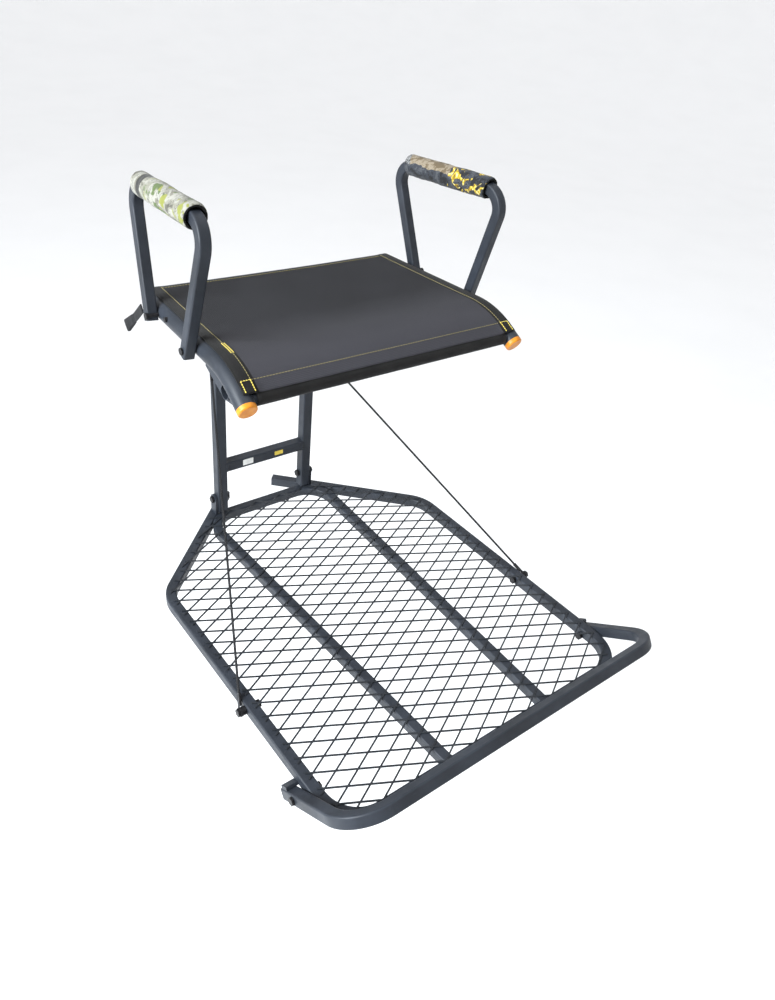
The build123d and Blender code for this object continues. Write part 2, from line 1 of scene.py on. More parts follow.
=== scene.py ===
"""Looks of the hang-on tree stand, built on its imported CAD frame. Metres, +Z up, -Y front."""

from math import cos, pi, radians, sin

import bmesh
import bpy
from mathutils import Matrix, Vector, noise


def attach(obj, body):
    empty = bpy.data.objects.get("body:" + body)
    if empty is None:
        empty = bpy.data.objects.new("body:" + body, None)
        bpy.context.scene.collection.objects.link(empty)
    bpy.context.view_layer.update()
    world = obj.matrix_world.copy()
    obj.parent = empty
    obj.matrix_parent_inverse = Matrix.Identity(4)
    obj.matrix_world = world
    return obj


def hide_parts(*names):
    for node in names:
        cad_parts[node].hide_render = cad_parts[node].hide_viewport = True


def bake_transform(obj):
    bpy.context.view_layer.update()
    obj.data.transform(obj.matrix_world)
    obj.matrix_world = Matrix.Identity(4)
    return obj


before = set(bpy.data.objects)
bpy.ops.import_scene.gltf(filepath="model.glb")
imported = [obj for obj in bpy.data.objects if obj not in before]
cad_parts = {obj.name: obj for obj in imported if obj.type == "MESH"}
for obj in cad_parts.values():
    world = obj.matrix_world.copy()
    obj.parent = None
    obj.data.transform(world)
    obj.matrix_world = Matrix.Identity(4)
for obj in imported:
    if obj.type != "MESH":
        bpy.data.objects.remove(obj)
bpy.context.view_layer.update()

# sizes shared with the CAD model, in metres; u is a distance in front of the post, so y = -u
RAIL_HALF, RAIL_SPLAY, RAIL_RADIUS, RAIL_Z = 0.238, 0.055, 0.015, 0.520
SLING_REAR_U, BEND_START_U, BEND_START_Z, BEND_RADIUS = 0.048, 0.3002, 0.370, 0.150
SLING_SLOPE, SLING_STRAIGHT = radians(29.74), 0.0127  # of the sheet past the rails' bend
SLING_ABOVE = 0.0163  # the sheet's middle above the rails' centres
HEM_CENTRE, HEM_RADIUS = Vector((0, -0.386, 0.495)), 0.0115
LOOP_LEAN, LOOP_OFFSET, LOOP_BEND = 0.060, 0.0245, 0.032
PAD_RADIUS, LINING_RADIUS = 0.0185, 0.0137


# ---------- camera ----------
def make_camera():
    """The view of the photo, from the left front and above."""
    azimuth, elevation, roll = radians(-41.33), radians(34.62), radians(6.67)
    right = Vector((cos(azimuth), sin(azimuth), 0))
    back = Vector((sin(azimuth) * cos(elevation), -cos(azimuth) * cos(elevation), sin(elevation)))
    up = back.cross(right)
    rolled_right = cos(roll) * right + sin(roll) * up
    rolled_up = cos(roll) * up - sin(roll) * right
    camera = bpy.data.objects.new("camera", bpy.data.cameras.new("camera"))
    camera.data.lens, camera.data.sensor_width = 28.3, 36
    turn = Matrix((rolled_right, rolled_up, back)).transposed()
    camera.matrix_world = Matrix.Translation((-0.729, -1.243, 1.017)) @ turn.to_4x4()
    bpy.context.scene.collection.objects.link(camera)
    bpy.context.scene.camera = camera


make_camera()


# ---------- node helpers ----------
class Finish:
    """A material whose colour, roughness and bump come from nodes in object space."""

    def __init__(self, name, specular=0.5, metallic=0.0, sheen=0.0, coat=0.0):
        self.material = bpy.data.materials.new(name)
        self.material.use_nodes = True
        self.tree = self.material.node_tree
        self.shader = self.tree.nodes["Principled BSDF"]
        self.shader.inputs["Specular IOR Level"].default_value = specular
        self.shader.inputs["Metallic"].default_value = metallic
        self.shader.inputs["Sheen Weight"].default_value = sheen
        self.shader.inputs["Coat Weight"].default_value = coat
        self.shader.inputs["Coat Roughness"].default_value = 0.35
        self.place = self.add("ShaderNodeTexCoord").outputs["Object"]

    def add(self, kind, inputs=None, **settings):
        node = self.tree.nodes.new(kind)
        for key, value in settings.items():
            setattr(node, key, value)
        for key, value in (inputs or {}).items():
            if isinstance(value, bpy.types.NodeSocket):
                self.tree.links.new(value, node.inputs[key])
            else:
                node.inputs[key].default_value = value
        return node

    def stretched(self, scale):
        return self.add("ShaderNodeMapping", {"Vector": self.place, "Scale": scale}).outputs[0]

    def noise(self, scale, detail=3.0, rough=0.5, distortion=0.0, vector=None):
        sizes = {"Scale": scale, "Detail": detail, "Roughness": rough, "Distortion": distortion}
        node = self.add("ShaderNodeTexNoise", {"Vector": vector or self.place, **sizes})
        return node.outputs["Fac"]

    def ramp(self, value, stops, steps=False):
        node = self.add("ShaderNodeValToRGB", {"Fac": value})
        node.color_ramp.interpolation = "CONSTANT" if steps else "LINEAR"
        points = node.color_ramp.elements
        while len(points) < len(stops):
            points.new(0.5)
        for point, (position, colour) in zip(points, stops):
            point.position = position
            shade = (colour,) * 3 if isinstance(colour, float) else colour
            point.color = (*shade, 1)
        return node.outputs["Color"]

    def tones(self, value, dark, light, low=0.3, high=0.7):
        return self.ramp(value, [(low, dark), (high, light)])

    def span(self, value, low, high, out_low=0.0, out_high=1.0):
        limits = {"From Min": low, "From Max": high, "To Min": out_low, "To Max": out_high}
        return self.add("ShaderNodeMapRange", {"Value": value, **limits}).outputs["Result"]

    def spread(self, noise_value, low, high):
        """Noise's usual values spread from low to high."""
        return self.span(noise_value, 0.3, 0.7, low, high)

    def maths(self, operation, a, b=0.0):
        node = self.add("ShaderNodeMath", {0: a, 1: b}, operation=operation)
        return node.outputs[0]

    def mix(self, share, a, b):
        node = self.add("ShaderNodeMix", data_type="RGBA")
        sockets = {"Factor": node.inputs[0], "A": node.inputs[6], "B": node.inputs[7]}
        for key, value in (("Factor", share), ("A", a), ("B", b)):
            if isinstance(value, bpy.types.NodeSocket):
                self.tree.links.new(value, sockets[key])
            else:
                sockets[key].default_value = value if key == "Factor" else (*value, 1)
        return node.outputs[2]

    def axis(self, name):
        return self.add("ShaderNodeSeparateXYZ", {"Vector": self.place}).outputs[name]

    def waves(self, axis, length):
        """A sine along an axis, one full wave to each length."""
        return self.maths("SINE", self.maths("MULTIPLY", self.axis(axis), 2 * pi / length))

    def finish(self, colour, roughness, height, depth, strength=0.5):
        self.tree.links.new(colour, self.shader.inputs["Base Color"])
        self.tree.links.new(roughness, self.shader.inputs["Roughness"])
        sizes = {"Distance": depth, "Strength": strength}
        bump = self.add("ShaderNodeBump", {"Height": height, **sizes})
        self.tree.links.new(bump.outputs["Normal"], self.shader.inputs["Normal"])
        return self.material


def powder_coat(name, dark, light):
    """Baked paint with faint orange peel, thin scuffs and a little dust."""
    f = Finish(name, specular=0.26, coat=0.05)
    base = f.tones(f.noise(16, 4), dark, light, 0.3, 0.72)
    streaks = f.noise(38, 3, 0.6, vector=f.stretched((1, 9, 9)))
    scuffs = f.tones(streaks, 0.0, 1.0, 0.69, 0.74)
    rubbed = tuple(1.9 * c for c in light)
    dust = f.tones(f.noise(150, 4, 0.65), 0.0, 0.35, 0.6, 0.78)
    colour = f.mix(f.maths("MULTIPLY", scuffs, 0.28), base, rubbed)
    colour = f.mix(f.maths("MULTIPLY", dust, 0.5), colour, rubbed)
    rough = f.spread(f.noise(42, 3), 0.40, 0.56)
    peel = f.maths("ADD", f.noise(900, 2), f.maths("MULTIPLY", scuffs, -0.25))
    return f.finish(colour, rough, peel, 0.00014, 0.5)


def black_zinc(name, dark, light, metallic):
    """Plated steel with fine turning marks, for bolts, nuts and cables."""
    f = Finish(name, specular=0.25, metallic=metallic)
    colour = f.tones(f.noise(220, 4, 0.6), dark, light, 0.35)
    turned = f.noise(700, 3, vector=f.stretched((5, 1, 1)))
    return f.finish(colour, f.spread(turned, 0.36, 0.52), turned, 0.00006, 0.4)


def plastic(name, dark, light, low, high, specular=0.5):
    """Moulded plastic or foam, its roughness between low and high."""
    f = Finish(name, specular=specular)
    colour = f.tones(f.noise(120, 3), dark, light)
    grain = f.noise(1500, 2)
    return f.finish(colour, f.spread(f.noise(90, 2), low, high), grain, 0.00008, 0.35)


def mesh_fabric(name, dark, light, front, pitch=0.0021):
    """Basket weave of coated yarn: ribs with painted shade in the gaps between, and a front slope
    painted paler as a painted sheen of the light on it.
    """
    f = Finish(name, specular=0.12, sheen=0.03)
    along = f.maths("ABSOLUTE", f.waves("X", 2 * pitch))
    cross = f.maths("ABSOLUTE", f.waves("Y", 2 * pitch))
    blocks = f.add("ShaderNodeTexChecker", {"Vector": f.place, "Scale": 1 / pitch}).outputs["Fac"]
    warp = f.maths("MULTIPLY", along, f.span(cross, 0, 1, 0.55, 1.0))
    weft = f.maths("MULTIPLY", cross, f.span(along, 0, 1, 0.55, 1.0))
    ribs = f.add("ShaderNodeMix", {0: blocks, 2: warp, 3: weft}).outputs[0]
    # painted highlight: the colour turns paler towards the front, standing in for the light falling
    # on the downward slope
    tone = f.mix(
        f.span(f.axis("Y"), -0.22, -0.345), f.tones(f.noise(9, 4, 0.55), dark, light), front
    )
    # painted shade: the colour darkens in the low gaps between the ribs, where the weave's hollows
    # fall in shade
    colour = f.mix(f.span(ribs, 0.0, 0.8, 0.55, 0.0), tone, (0.006, 0.006, 0.007))
    fuzz = f.tones(f.noise(520, 3, 0.7), 0.0, 0.3, 0.62, 0.75)
    colour = f.mix(f.maths("MULTIPLY", fuzz, 0.35), colour, tuple(2.2 * c for c in light))
    return f.finish(colour, f.span(ribs, 0, 1, 0.85, 0.68), ribs, 0.0006, 0.55)


def webbing(name, dark, light):
    """Close ribbed tape, as on the sling's edges and the strap."""
    f = Finish(name, specular=0.12, sheen=0.05)
    ribs, threads = f.waves("X", 0.0016), f.waves("Y", 0.0011)
    height = f.maths("ADD", f.maths("MULTIPLY", ribs, 0.5), f.maths("MULTIPLY", threads, 0.25))
    tone = f.tones(f.noise(30, 4, 0.6), dark, light, 0.3, 0.72)
    worn = f.tones(f.noise(420, 3, 0.7), 0.0, 0.5, 0.55, 0.72)
    colour = f.mix(f.maths("MULTIPLY", worn, 0.4), tone, tuple(1.8 * c for c in light))
    return f.finish(colour, f.spread(f.noise(60, 2), 0.7, 0.85), height, 0.0003, 0.5)


def thread(name, dark, light):
    """Twisted sewing thread."""
    f = Finish(name, specular=0.35, sheen=0.2)
    twist = f.noise(1300, 2, vector=f.stretched((1, 1, 3)))
    return f.finish(f.tones(twist, dark, light), f.spread(twist, 0.55, 0.7), twist, 0.0001, 0.5)


def brushed(f, colour):
    """Finishes a sleeve print with the short pile of its cloth."""
    pile = f.noise(1100, 3, 0.7)
    return f.finish(colour, f.spread(pile, 0.75, 0.95), pile, 0.0004, 0.45)


def pale_leaf_print(name):
    """Off-white sleeve print: grey bark lines, one grey seam band and yellow-green leaves."""
    f = Finish(name, specular=0.2, sheen=0.08)
    bark_tones = [
        (0.0, (0.075, 0.072, 0.055)),
        (0.38, (0.165, 0.16, 0.13)),
        (0.47, (0.235, 0.23, 0.20)),
        (0.60, (0.125, 0.12, 0.095)),
    ]
    base = f.ramp(f.noise(34, 5, 0.6, 0.6), bark_tones, steps=True)
    bark = f.noise(26, 4, 0.6, 1.2, vector=f.stretched((1, 2.6, 0.8)))
    lines = f.maths("ABSOLUTE", f.maths("SUBTRACT", bark, 0.5))
    colour = f.mix(f.span(lines, 0.006, 0.022, 0.85, 0.0), base, (0.035, 0.035, 0.032))
    leaf_zone = f.span(f.axis("Y"), -0.125, -0.15)
    leaf = f.tones(f.noise(46, 3, 0.5, 0.9), 0.0, 1.0, 0.545, 0.57)
    leaves = f.maths("MULTIPLY", leaf, leaf_zone)
    leaf_tones = [(0.0, (0.05, 0.08, 0.018)), (0.5, (0.15, 0.16, 0.022))]
    green = f.ramp(f.noise(30, 2), leaf_tones, steps=True)
    colour = f.mix(f.maths("MULTIPLY", leaves, 0.9), colour, green)
    after = f.maths("GREATER_THAN", f.axis("Y"), -0.121)
    before = f.maths("LESS_THAN", f.axis("Y"), -0.106)
    band = f.maths("MULTIPLY", f.maths("MULTIPLY", after, before), 0.85)
    colour = f.mix(band, colour, (0.008, 0.0085, 0.010))
    return brushed(f, colour)


def dark_leaf_print(name):
    """Brown and slate sleeve print, with tan bark at its top and yellow leaves near the front."""
    f = Finish(name, specular=0.2, sheen=0.06)
    mottle = f.noise(60, 6, 0.72, 0.8)
    slate_tones = [
        (0.0, (0.012, 0.012, 0.013)),
        (0.46, (0.028, 0.031, 0.038)),
        (0.56, (0.055, 0.058, 0.064)),
        (0.64, (0.012, 0.011, 0.010)),
    ]
    tan_tones = [
        (0.0, (0.10, 0.075, 0.045)),
        (0.5, (0.20, 0.165, 0.12)),
        (0.6, (0.14, 0.11, 0.07)),
    ]
    leaf_tones = [
        (0.0, (0.16, 0.10, 0.010)),
        (0.47, (0.42, 0.30, 0.03)),
        (0.58, (0.55, 0.47, 0.20)),
    ]
    slate = f.ramp(mottle, slate_tones, steps=True)
    tan = f.ramp(mottle, tan_tones, steps=True)
    height = f.maths("ADD", f.axis("Z"), f.span(f.noise(22, 3), 0, 1, -0.012, 0.012))
    top = f.maths("GREATER_THAN", height, 0.716)
    along = f.maths("ADD", f.axis("Y"), f.span(f.noise(30, 3), 0, 1, -0.03, 0.03))
    middle = f.maths("GREATER_THAN", along, -0.20)
    colour = f.mix(f.maths("MULTIPLY", top, middle), slate, tan)
    ash = f.ramp(mottle, [(0.0, 0.02), (0.48, 0.20), (0.55, 0.05), (0.62, 0.32)], steps=True)
    colour = f.mix(f.maths("GREATER_THAN", along, -0.085), colour, ash)
    leaf = f.tones(f.noise(52, 2, 0.5, 1.0), 0.0, 1.0, 0.56, 0.585)
    near_front = f.maths("LESS_THAN", along, -0.185)
    yellow = f.ramp(f.noise(160, 3), leaf_tones, steps=True)
    colour = f.mix(f.maths("MULTIPLY", leaf, near_front), colour, yellow)
    return brushed(f, colour)


finishes = {
    "frame_steel": powder_coat("frame_coat", (0.0135, 0.0160, 0.0210), (0.0235, 0.0280, 0.0370)),
    "mesh_steel": powder_coat("mesh_coat", (0.011, 0.013, 0.016), (0.020, 0.023, 0.028)),
    "hardware": black_zinc("black_zinc", (0.006, 0.006, 0.007), (0.020, 0.020, 0.022), 0.3),
    "cable": black_zinc("cable_steel", (0.005, 0.005, 0.006), (0.014, 0.014, 0.016), 0.1),
    "cable_fittings": black_zinc(
        "cable_fitting", (0.010, 0.010, 0.011), (0.030, 0.030, 0.033), 0.4
    ),
    "cap_orange": plastic(
        "cap_orange", (0.46, 0.14, 0.005), (0.58, 0.22, 0.010), 0.30, 0.48, 0.35
    ),
    "plug_black": plastic("plug_black", (0.010, 0.010, 0.011), (0.022, 0.022, 0.024), 0.5, 0.7),
    "label_white": plastic("label_white", (0.62, 0.62, 0.60), (0.75, 0.75, 0.72), 0.25, 0.4),
    "label_yellow": plastic("label_yellow", (0.60, 0.44, 0.05), (0.72, 0.55, 0.08), 0.25, 0.4),
    # the sling's third colour is the painted highlight of its front slope
    "sling_fabric": mesh_fabric(
        "sling_weave", (0.009, 0.009, 0.0115), (0.015, 0.0148, 0.0185), (0.047, 0.046, 0.054)
    ),
    "pad_left": pale_leaf_print("pad_print_pale"),
    "pad_right": dark_leaf_print("pad_print_dark"),
}
edge_tape = webbing("sling_edge_tape", (0.0065, 0.0063, 0.0063), (0.0125, 0.0118, 0.0115))
strap_web = webbing("strap_webbing", (0.006, 0.006, 0.007), (0.016, 0.016, 0.017))
olive_thread = thread("olive_thread", (0.13, 0.11, 0.035), (0.22, 0.18, 0.06))
yellow_thread = thread("yellow_thread", (0.50, 0.38, 0.04), (0.68, 0.56, 0.10))
pad_foam = plastic("pad_foam", (0.004, 0.004, 0.004), (0.012, 0.012, 0.012), 0.85, 0.95, 0.2)
weld_coat = powder_coat("weld_coat", (0.011, 0.013, 0.017), (0.019, 0.023, 0.030))

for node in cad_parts.values():
    for held in node.material_slots:
        held.material = finishes[held.material.name.split(".")[0]]


# ---------- mesh helpers ----------
def new_object(name, mesh, materials):
    for material in materials:
        mesh.materials.append(material)
    made = bpy.data.objects.new(name, mesh)
    bpy.context.scene.collection.objects.link(made)
    return made


def smooth_all(mesh):
    for face in mesh.polygons:
        face.use_smooth = True


def join_rows(bm, rows, material=0):
    """A band of faces between each closed row of vertices and the next."""
    count = len(rows[0])
    for low, high in zip(rows, rows[1:]):
        for i in range(count):
            j = (i + 1) % count
            bm.faces.new((low[i], low[j], high[j], high[i])).material_index = material


def skin(bm, rings, caps=True):
    """Faces through rings of equally many points; returns the rings' vertices."""
    rows = [[bm.verts.new(p) for p in points] for points in rings]
    join_rows(bm, rows)
    if caps:
        bm.faces.new(list(reversed(rows[0])))
        bm.faces.new(rows[-1])
    return rows


def finished(name, bm, materials):
    """A smooth-shaded object from the bmesh, which is freed."""
    bmesh.ops.recalc_face_normals(bm, faces=bm.faces)
    mesh = bpy.data.meshes.new(name)
    bm.to_mesh(mesh)
    bm.free()
    smooth_all(mesh)
    return new_object(name, mesh, materials)


def across_axes(direction):
    """Two unit vectors square to a direction and to each other."""
    helper = Vector((0, 0, 1)) if abs(direction.z) < 0.9 else Vector((1, 0, 0))
    first = direction.cross(helper).normalized()
    return first, direction.cross(first).normalized()


def ring(centre, first, second, radius, count):
    """Points of a circle about a centre, in the plane of two unit vectors."""
    turns = [2 * pi * i / count for i in range(count)]
    return [centre + radius * (cos(t) * first + sin(t) * second) for t in turns]


# ---------- sling ----------
BEND_LENGTH = SLING_SLOPE * (BEND_RADIUS + SLING_ABOVE)
FLAT_LENGTH = BEND_START_U - SLING_REAR_U
SLING_LENGTH = FLAT_LENGTH + BEND_LENGTH + SLING_STRAIGHT


def rail_x(u):
    """How far out a rail's centre is, at a distance in front of the post."""
    return RAIL_HALF + RAIL_SPLAY * u


def profile(run):
    """u and z of the rail's centre, and the sheet's normal, at a run from the sheet's rear edge."""
    if run < FLAT_LENGTH:
        return SLING_REAR_U + run, RAIL_Z, Vector((0, 0, 1))
    turn = min((run - FLAT_LENGTH) / (BEND_RADIUS + SLING_ABOVE), SLING_SLOPE)
    normal = Vector((0, -sin(turn), cos(turn)))
    u = BEND_START_U + BEND_RADIUS * sin(turn)
    z = BEND_START_Z + BEND_RADIUS * cos(turn)
    past = max(run - FLAT_LENGTH - BEND_LENGTH, 0)
    return u + past * cos(SLING_SLOPE), z - past * sin(SLING_SLOPE), normal


def sheet_point(run, side, curl=0.0, lift=0.0):
    """A point of the sling: side is -1 to 1 between the rails, and curl turns it down a rail."""
    u, z, normal = profile(run)
    half = rail_x(u)
    height = SLING_ABOVE + lift
    if curl:
        x = half + height * sin(curl)
        return Vector((x * (1 if side > 0 else -1), -u, z)) + normal * height * cos(curl)
    share = run / SLING_LENGTH
    belly = 0.0062 * sin(pi * min(max(share * 0.95 + 0.08, 0), 1)) * (1 - side * side) ** 0.8
    ripple = 0.0005 * noise.noise(Vector((side * 3.1, run * 14, 0.7))) * (1 - side * side)
    onto_hem = 0.0  # towards the front the sheet comes down to its bar, but not over the rails
    if abs(side) < 0.94:
        reach = min(max((run - SLING_LENGTH + 0.030) / 0.030, 0), 1)
        onto_hem = 0.0034 * reach * reach * (3 - 2 * reach) * min((0.94 - abs(side)) / 0.05, 1)
    return Vector((side * half, -u, z)) + normal * (height - belly - onto_hem + ripple)


CURL = radians(13)  # how far the sheet's edges turn down the rails' outsides
STITCH_IN = 0.017  # how far inside a rail's centre the side stitching runs
HALF_THICK = 0.0007
SEAT_HALF = 0.24  # about half the sheet's width, for turning distances into shares


def is_taped(side):
    """Whether this share of the half width is outside the stitching, under the folded tape."""
    return STITCH_IN / SEAT_HALF > 1 - abs(side)


def make_sling():
    """The woven sheet over both rails, with folded edge tape outside the stitching."""
    sides = [-1 + 2 * i / 72 for i in range(73)]
    curls = [CURL * i / 5 for i in range(1, 6)]
    stations = [SLING_LENGTH * i / 84 for i in range(85)]
    bm = bmesh.new()
    layers = []
    for lift in (HALF_THICK, -HALF_THICK):
        rows = []
        for run in stations:
            left = [sheet_point(run, -1, curl, lift) for curl in reversed(curls)]
            middle = []
            for side in sides:
                raised = 0.0005 if is_taped(side) and lift > 0 else 0
                middle.append(sheet_point(run, side, 0.0, lift + raised))
            right = [sheet_point(run, 1, curl, lift) for curl in curls]
            rows.append([bm.verts.new(p) for p in left + middle + right])
        layers.append(rows)
    columns = len(layers[0][0])
    tape_columns = len(curls) + sum(is_taped(side) for side in sides if side < 0)
    for rows in layers:
        for i in range(len(rows) - 1):
            for j in range(columns - 1):
                low, high = rows[i], rows[i + 1]
                face = bm.faces.new((low[j], low[j + 1], high[j + 1], high[j]))
                near_side = j < tape_columns or j >= columns - 1 - tape_columns
                near_rear = stations[i] < 0.010
                face.material_index = int(near_side or near_rear)
    top, bottom = layers
    edge = (  # the rim's (row, column) places in order, where the two layers are joined
        [(r, 0) for r in range(len(stations))]
        + [(len(stations) - 1, c) for c in range(1, columns)]
        + [(r, columns - 1) for r in range(len(stations) - 2, -1, -1)]
        + [(0, c) for c in range(columns - 2, 0, -1)]
    )
    for (r, c), (r2, c2) in zip(edge, edge[1:] + edge[:1]):
        face = bm.faces.new((top[r][c], top[r2][c2], bottom[r2][c2], bottom[r][c]))
        face.material_index = 1
    sling = finished("sling_sheet", bm, [finishes["sling_fabric"], edge_tape])
    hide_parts("seat_sling")
    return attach(sling, "seat")


def make_hem():
    """The sheet's front end, wrapped round the front bar and sewn back to itself."""
    half = rail_x(-HEM_CENTRE.y) - RAIL_RADIUS - 0.003
    normal = Vector((0, -sin(SLING_SLOPE), cos(SLING_SLOPE)))
    forward = Vector((0, -cos(SLING_SLOPE), -sin(SLING_SLOPE)))
    wrap_start, wrap_sweep = radians(100), radians(245)
    bm = bmesh.new()
    rings = []
    for i in range(61):
        x = half * (-1 + 2 * i / 60)
        points = []
        for j in range(26):
            turn = wrap_start - wrap_sweep * j / 25
            wobble = 0.0004 * noise.noise(Vector((x * 22, j * 0.35, 3.0)))
            radius = HEM_RADIUS + wobble
            points.append(HEM_CENTRE + radius * (cos(turn) * forward + sin(turn) * normal))
        tail = HEM_CENTRE - 0.026 * forward
        points.append(tail + normal * 0.0088)
        points.append(tail + normal * 0.0106)
        rings.append([p + Vector((x, 0, 0)) for p in points])
    skin(bm, rings)
    hem = finished("sling_hem_roll", bm, [edge_tape])
    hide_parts("sling_front_hem")
    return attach(hem, "seat")


def stitch_dash(bm, start, end, radius):
    """One stitch: a short rod with tapered ends."""
    direction = (end - start).normalized()
    first, second = across_axes(direction)
    rings = []
    for share, width in ((0.0, 0.45), (0.12, 1.0), (0.88, 1.0), (1.0, 0.45)):
        rings.append(ring(start.lerp(end, share), first, second, radius * width, 6))
    skin(bm, rings)


def stitch_row(bm, place, first_run, last_run, length=0.0036, gap=0.0014, radius=0.0006):
    """Dashes along a line on the sheet; place gives the point at a run in metres."""
    run = first_run
    while run + length < last_run:
        stitch_dash(bm, place(run), place(run + length), radius)
        run += length + gap


def side_line(sign, inset):
    """A line along one rail, an inset away from its centre."""

    def place(run):
        half = rail_x(profile(run)[0])
        return sheet_point(run, sign * (half - inset) / half, 0, 0.0013)

    return place


def cross_line(run):
    """A line from rail to rail, and half its length."""
    half = rail_x(profile(run)[0])

    def place(x):
        return sheet_point(run, x / half, 0, 0.0009)

    return place, half


def make_stitching():
    """Olive seams along the tape and hem, and yellow tacks in the corners and on the left tape."""
    front_run = SLING_LENGTH - 0.021
    rows = bmesh.new()
    for sign in (-1, 1):
        stitch_row(rows, side_line(sign, STITCH_IN - 0.0008), 0.006, front_run)
    for run in (0.0085, front_run):
        place, half = cross_line(run)
        stitch_row(rows, place, -half + STITCH_IN, half - STITCH_IN)
    stitches = finished("sling_stitching", rows, [olive_thread])

    tacks = bmesh.new()
    corner_stitch = (0.0032, 0.0008, 0.0008)
    for sign in (-1, 1):
        for inset in (STITCH_IN - 0.001, 0.001):
            line = side_line(sign, inset)
            stitch_row(tacks, line, front_run, SLING_LENGTH - 0.001, *corner_stitch)
        place, half = cross_line(front_run)
        near, far = half - STITCH_IN, half - 0.001
        low, high = (near, far) if sign > 0 else (-far, -near)
        stitch_row(tacks, place, low, high, *corner_stitch)
    start = FLAT_LENGTH - 0.012
    for inset in (STITCH_IN - 0.0028, STITCH_IN + 0.0012):
        stitch_row(tacks, side_line(-1, inset), start, start + 0.034, 0.003, 0.0007, 0.0007)
    bar_tacks = finished("sling_bar_tacks", tacks, [yellow_thread])
    for piece in (stitches, bar_tacks):
        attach(piece, "seat")
    return stitches, bar_tacks


sling = make_sling()
hem = make_hem()
stitching = make_stitching()


# ---------- armrest sleeves ----------
def rounded_path(corners, radius, steps):
    """Points along straight runs with tangent arcs at the inner corners, and each arc's range."""
    points, arcs = [corners[0]], []
    for before, corner, after in zip(corners, corners[1:], corners[2:]):
        back, ahead = (before - corner).normalized(), (after - corner).normalized()
        half_turn = back.angle(ahead) / 2
        slope = sin(half_turn) / cos(half_turn)
        centre = corner + (back + ahead).normalized() * radius / sin(half_turn)
        start, end = corner + back * radius / slope, corner + ahead * radius / slope
        first = len(points)
        for i in range(steps + 1):
            arm = (start - centre).normalized().slerp((end - centre).normalized(), i / steps)
            points.append(centre + radius * arm)
        arcs.append((first, len(points) - 1))
    return points + [corners[-1]], arcs


def loop_points(side):
    """The middle line of the armrest's top, from a little way round one bend to the other."""
    x_dir = Vector((RAIL_SPLAY, -1, 0)).normalized()
    z_dir = Vector((-1, -RAIL_SPLAY, -LOOP_LEAN)).normalized()
    y_dir = z_dir.cross(x_dir)
    origin = Vector((RAIL_HALF + LOOP_OFFSET, 0, RAIL_Z))
    flat = [(0.253, -0.010), (0.314, 0.1955), (0.045, 0.1865), (0.113, -0.010)]
    corners = [origin + a * x_dir + b * y_dir for a, b in flat]
    points, arcs = rounded_path(corners, LOOP_BEND, 25)
    top = points[arcs[0][1] - 3 : arcs[1][0] + 4]
    line = [top[0]]
    for p in top[1:]:
        steps = max(int((p - line[-1]).length / 0.0028), 1)
        start = line[-1]
        line += [start.lerp(p, (i + 1) / steps) for i in range(steps)]
    return [Vector((side * p.x, p.y, p.z)) for p in line]


def make_pad(name, side, material, seed):
    """A padded sleeve: uneven round section, puckered at both open ends, with a sewn seam below."""
    line = loop_points(side)
    length = [0.0]
    for a, b in zip(line, line[1:]):
        length.append(length[-1] + (b - a).length)
    total = length[-1]
    count = 56
    outside, inside = [], []
    for i, p in enumerate(line):
        ahead = line[min(i + 1, len(line) - 1)] - line[max(i - 1, 0)]
        first, second = across_axes(ahead.normalized())
        share = length[i] / total
        from_end = min(length[i], total - length[i])
        lip = 1 - 0.07 * max(1 - from_end / 0.004, 0) ** 2
        points = []
        for k in range(count):
            turn = 2 * pi * k / count
            out = cos(turn) * first + sin(turn) * second
            slow = noise.noise(Vector((seed, share * 5.5, 0)) + out * 1.1)
            fold = noise.noise(Vector((seed + 9, share * 26, 0)) + out * 2.6)
            seam = max(-out.z - 0.975, 0) / 0.025
            radius = PAD_RADIUS * lip + 0.0009 * slow + 0.0005 * fold - 0.0013 * seam - 0.0003
            points.append(p + out * radius)
        outside.append(points)
        inside.append([p + (q - p).normalized() * LINING_RADIUS for q in points])
    bm = bmesh.new()
    outer = skin(bm, outside, caps=False)
    deep = 5  # rings of lining that show inside each open end
    for rim, holes in ((outer[0], inside[: deep + 1]), (outer[-1], inside[: -deep - 2 : -1])):
        rows = [rim] + [[bm.verts.new(q) for q in points] for points in holes]
        join_rows(bm, rows, material=1)
        bm.faces.new(rows[-1]).material_index = 1
    pad = finished(name, bm, [material, pad_foam])
    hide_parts("arm_pad_right" if side > 0 else "arm_pad_left")
    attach(pad, "seat")
    return pad


make_pad("arm_sleeve_right", 1, finishes["pad_right"], 2.0)
make_pad("arm_sleeve_left", -1, finishes["pad_left"], 5.0)


# ---------- support cables ----------
UPPER_END = Vector((0.1252, -0.0231, 0.3335))  # of the right cable, inside its crimped ferrules
LOWER_END = Vector((0.3172, -0.4679, 0.0165))
CORE_RADIUS, STRAND_RADIUS, STRAND_OFFSET, LAY_LENGTH = 0.0008, 0.00076, 0.00140, 0.026


def route_line(points):
    """The smooth line through a route's control points, as the spline itself gives it."""
    curve = bpy.data.curves.new("route", "CURVE")
    curve.dimensions = "3D"
    curve.resolution_u = 48
    spline = curve.splines.new("NURBS")
    spline.points.add(len(points) - 1)
    for place, p in zip(spline.points, points):
        place.co = (*p, 1)
    spline.order_u = 3
    spline.use_endpoint_u = True
    holder = bpy.data.objects.new("route", curve)
    line = [v.co.copy() for v in bpy.data.meshes.new_from_object(holder).vertices]
    bpy.data.objects.remove(holder)
    return line


